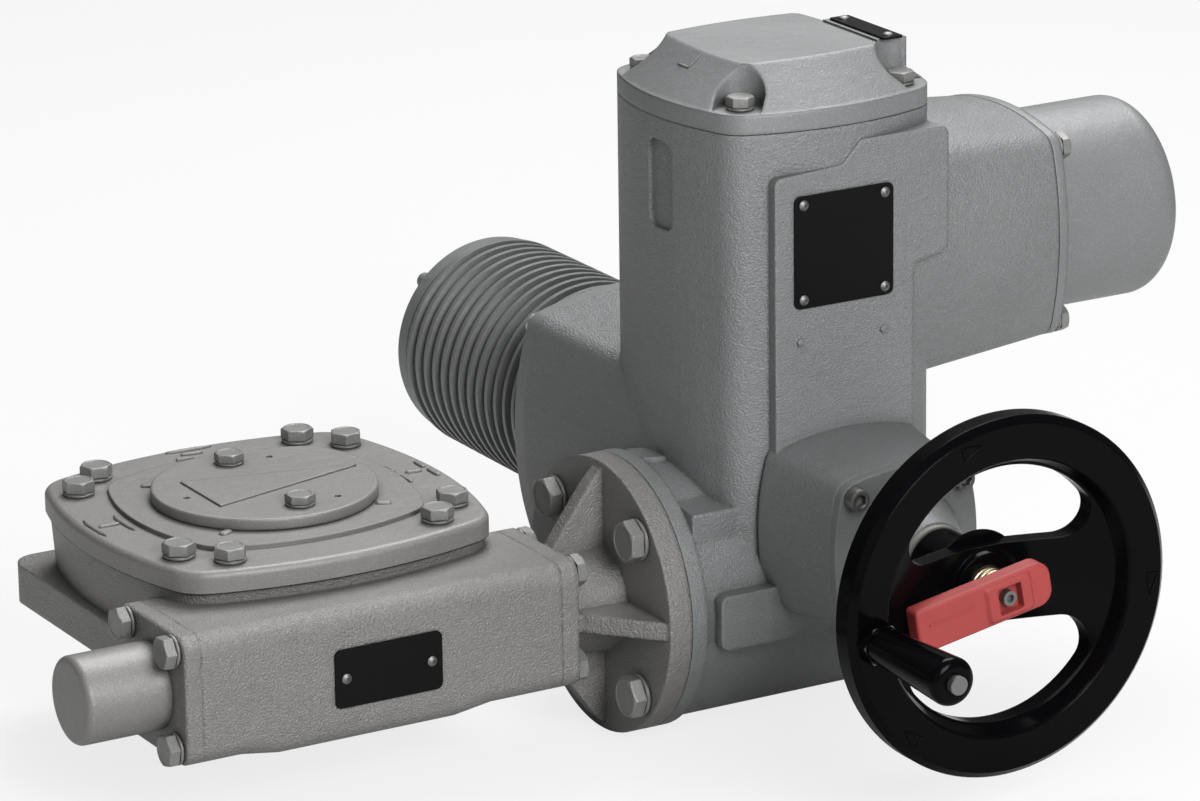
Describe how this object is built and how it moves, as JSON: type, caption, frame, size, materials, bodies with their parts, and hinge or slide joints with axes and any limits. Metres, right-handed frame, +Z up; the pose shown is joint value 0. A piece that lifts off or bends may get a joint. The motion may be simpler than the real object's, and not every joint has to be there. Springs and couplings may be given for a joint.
{
  "type": "electric valve actuator",
  "caption": "Motor-driven multi-turn actuator with handwheel, bolted to a quarter-turn worm gearbox that opens and closes a large valve.",
  "frame": {"origin": "centre of the valve mounting face under the gearbox", "axes": "+X along the gearbox worm towards the actuator, +Y towards the motor with the handwheel on the -Y side, +Z up, away from the valve"},
  "size_m": [0.5408, 0.5226, 0.3072],
  "materials": {
    "casting": "satin",
    "painted_aluminium": "satin",
    "painted_bolt": "satin",
    "bright_steel": "satin",
    "machine_steel": "satin",
    "bronze": "satin",
    "black_plastic": "gloss",
    "insulation": "matte",
    "red_plastic": "satin",
    "plate": "satin",
    "rivet": "satin"
  },
  "bodies": {
    "housing": {"gearbox_housing": "casting", "gearbox_cover": "casting", "cover_bolts": "painted_bolt", "wheel_bushes": "bronze", "worm_bearings": "machine_steel", "end_plate": "casting", "stop_cap": "casting", "end_plate_bolts": "painted_bolt", "input_flange": "casting", "input_flange_bolts": "painted_bolt", "joint_bolts": "painted_bolt", "gear_housing": "painted_aluminium", "switch_lid": "painted_aluminium", "lid_bolts": "painted_bolt", "control_frame": "machine_steel", "travel_switches": "insulation", "torque_switches": "insulation", "output_bearings": "machine_steel", "drive_bearings": "machine_steel", "motor_housing": "painted_aluminium", "motor_cap": "painted_aluminium", "stator": "machine_steel", "motor_bearings": "machine_steel", "motor_screws": "bright_steel", "pin_carrier": "insulation", "plug_cover": "painted_aluminium", "socket_insert": "insulation", "plug_bolts": "painted_bolt", "blanking_plugs": "bright_steel", "hand_drive_cover": "painted_aluminium", "side_plate_screws": "bright_steel", "shaft_ring": "bright_steel", "nameplates": "plate", "plate_rivets": "rivet"},
    "drive_train": {"drive_worm_shaft": "machine_steel", "rotor": "machine_steel"},
    "worm_train": {"worm_shaft": "machine_steel", "hollow_shaft": "machine_steel", "output_wheel": "bronze"},
    "valve_drive": {"wheel_hub": "machine_steel", "worm_wheel": "bronze", "valve_coupling": "machine_steel", "position_pointer": "casting", "pointer_bolts": "painted_bolt"},
    "stop_nut": {"stop_nut": "machine_steel"},
    "handwheel": {"handwheel": "black_plastic", "hand_shaft": "machine_steel", "grip_spindle": "bright_steel", "lever_spring": "bronze"},
    "grip": {"grip": "black_plastic"},
    "changeover_lever": {"changeover_lever": "red_plastic", "lever_spindle": "machine_steel", "lever_screw": "bright_steel"},
    "clutch": {"clutch_sleeve": "machine_steel"}
  },
  "joints": [
    {"name": "motor_spin", "type": "hinge", "parent": "housing", "child": "drive_train", "pos_m": [0.215, 0, 0.0695], "axis": [0, 1, 0], "range_deg": [0, 152640]},
    {"name": "input_spin", "type": "hinge", "parent": "housing", "child": "worm_train", "pos_m": [0, -0.08, 0.032], "axis": [1, 0, 0], "range_deg": [0, 4770]},
    {"name": "valve_turn", "type": "hinge", "parent": "housing", "child": "valve_drive", "pos_m": [0, 0, 0], "axis": [0, 0, 1], "range_deg": [-90, 0]},
    {"name": "stop_nut_slide", "type": "slide", "parent": "housing", "child": "stop_nut", "axis": [1, 0, 0], "range_m": [-0.02651, 0]},
    {"name": "handwheel_spin", "type": "hinge", "parent": "housing", "child": "handwheel", "pos_m": [0.215, 0, 0.0695], "axis": [0, 1, 0], "continuous": true},
    {"name": "grip_spin", "type": "hinge", "parent": "handwheel", "child": "grip", "pos_m": [0.14676, -0.3, 0.06353], "axis": [0, 1, 0], "continuous": true},
    {"name": "lever_swivel", "type": "hinge", "parent": "handwheel", "child": "changeover_lever", "pos_m": [0.215, -0.262, 0.0695], "axis": [0, -1, 0], "range_deg": [0, 88]},
    {"name": "clutch_slide", "type": "slide", "parent": "drive_train", "child": "clutch", "axis": [0, -1, 0], "range_m": [0, 0.005], "stiffness_N_per_m": 400, "springref_m": -0.005}
  ],
  "couplings": [
    {"joint": "input_spin", "follows": "motor_spin", "ratio": 0.03125},
    {"joint": "valve_turn", "follows": "motor_spin", "ratio": -0.00058962},
    {"joint": "stop_nut_slide", "follows": "motor_spin", "m_per_rad": -0.0000099472},
    {"joint": "lever_swivel", "follows": "clutch_slide", "rad_per_m": 296.7}
  ]
}
